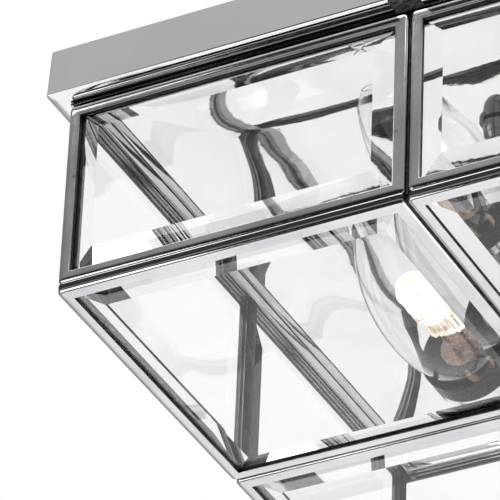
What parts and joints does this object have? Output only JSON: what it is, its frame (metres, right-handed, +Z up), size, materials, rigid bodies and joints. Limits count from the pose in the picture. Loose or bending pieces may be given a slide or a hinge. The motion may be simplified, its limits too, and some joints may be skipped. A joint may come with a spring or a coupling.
{
  "type": "porch ceiling lantern",
  "caption": "Shallow square ceiling lantern for a porch: polished pan, hinged box of bevelled glass in bright strips, candle lamps lying flat under the pan.",
  "frame": {"origin": "middle of the pan in the plane where it meets the ceiling", "axes": "+Z up towards the ceiling, front wall with the finger notch faces -Y, back hinge at +Y, X to the right seen from the front"},
  "size_m": [0.243, 0.243, 0.089],
  "materials": {
    "dark_solder": "dark rough soldered bar",
    "polished_strip": "bright plated strip",
    "clear_glass": "clear bevelled glass with a faint green edge",
    "bright_steel": "bright steel",
    "polished_pan": "mirror-polished pressed sheet",
    "zinc_steel": "zinc-plated steel",
    "polished_nut": "polished plated nut",
    "brass": "plain brass",
    "black_rubber": "soft black rubber",
    "lamp_cap": "bright screw cap",
    "capsule_quartz": "clear quartz capsule with a lit filament",
    "lamp_contact": "black insulator with a solder contact",
    "lamp_glass": "thin clear lamp glass",
    "lamp_stem": "brown disc and coppery wires",
    "dark_holder": "dark grey moulded lampholder",
    "terminal_plastic": "white moulded plastic",
    "folded_rim": "bright folded strip"
  },
  "bodies": {
    "ceiling_fixture": {"catch_clip": "bright_steel", "ceiling_pan": "polished_pan", "ceiling_strap": "zinc_steel", "dome_nuts": "polished_nut", "earth_terminal": "brass", "grommets": "black_rubber", "hinge_leaf_pan": "bright_steel", "hinge_pin": "bright_steel", "holder_bracket_1": "zinc_steel", "holder_bracket_2": "zinc_steel", "holder_contacts": "brass", "holder_nuts": "zinc_steel", "lampholder_1": "dark_holder", "lampholder_2": "dark_holder", "pan_studs": "bright_steel", "stud_locknuts": "zinc_steel", "stud_washers": "polished_nut", "terminal_block": "terminal_plastic", "terminal_screws": "brass"},
    "glass_box": {"bottom_cross": "dark_solder", "bottom_edge_bars": "dark_solder", "bottom_frame_1": "polished_strip", "bottom_frame_2": "polished_strip", "bottom_frame_3": "polished_strip", "bottom_frame_4": "polished_strip", "bottom_pane_1": "clear_glass", "bottom_pane_2": "clear_glass", "bottom_pane_3": "clear_glass", "bottom_pane_4": "clear_glass", "catch_blade": "bright_steel", "corner_posts": "dark_solder", "hinge_leaf_wall": "bright_steel", "middle_posts": "dark_solder", "top_rim": "folded_rim", "wall_frame_back_1": "polished_strip", "wall_frame_back_2": "polished_strip", "wall_frame_front_1": "polished_strip", "wall_frame_front_2": "polished_strip", "wall_frame_left_1": "polished_strip", "wall_frame_left_2": "polished_strip", "wall_frame_right_1": "polished_strip", "wall_frame_right_2": "polished_strip", "wall_pane_back_1": "clear_glass", "wall_pane_back_2": "clear_glass", "wall_pane_front_1": "clear_glass", "wall_pane_front_2": "clear_glass", "wall_pane_left_1": "clear_glass", "wall_pane_left_2": "clear_glass", "wall_pane_right_1": "clear_glass", "wall_pane_right_2": "clear_glass"},
    "lamp_1_foot": {"lamp_1_contact": "lamp_contact"},
    "lamp_1": {"lamp_1_glass": "lamp_glass", "lamp_1_cap": "lamp_cap", "lamp_1_capsule": "capsule_quartz", "lamp_1_stem": "lamp_stem"},
    "lamp_2_foot": {"lamp_2_contact": "lamp_contact"},
    "lamp_2": {"lamp_2_glass": "lamp_glass", "lamp_2_cap": "lamp_cap", "lamp_2_capsule": "capsule_quartz", "lamp_2_stem": "lamp_stem"}
  },
  "joints": [
    {"name": "glass_box_hinge", "type": "hinge", "parent": "ceiling_fixture", "child": "glass_box", "pos_m": [0, 0.11874, -0.02024], "axis": [1, 0, 0], "range_deg": [0, 90]},
    {"name": "lamp_1_advance", "type": "slide", "parent": "ceiling_fixture", "child": "lamp_1_foot", "axis": [0, -1, 0], "range_m": [0, 0.01128]},
    {"name": "lamp_1_turn", "type": "hinge", "parent": "lamp_1_foot", "child": "lamp_1", "pos_m": [-0.0441, 0, -0.0455], "axis": [0, -1, 0], "range_deg": [0, 1440]},
    {"name": "lamp_2_advance", "type": "slide", "parent": "ceiling_fixture", "child": "lamp_2_foot", "axis": [0, 1, 0], "range_m": [0, 0.01128]},
    {"name": "lamp_2_turn", "type": "hinge", "parent": "lamp_2_foot", "child": "lamp_2", "pos_m": [0.0441, 0, -0.0455], "axis": [0, 1, 0], "range_deg": [0, 1440]}
  ],
  "couplings": [
    {"joint": "lamp_1_turn", "follows": "lamp_1_advance", "rad_per_m": 2228.1},
    {"joint": "lamp_2_turn", "follows": "lamp_2_advance", "rad_per_m": 2228.1}
  ]
}
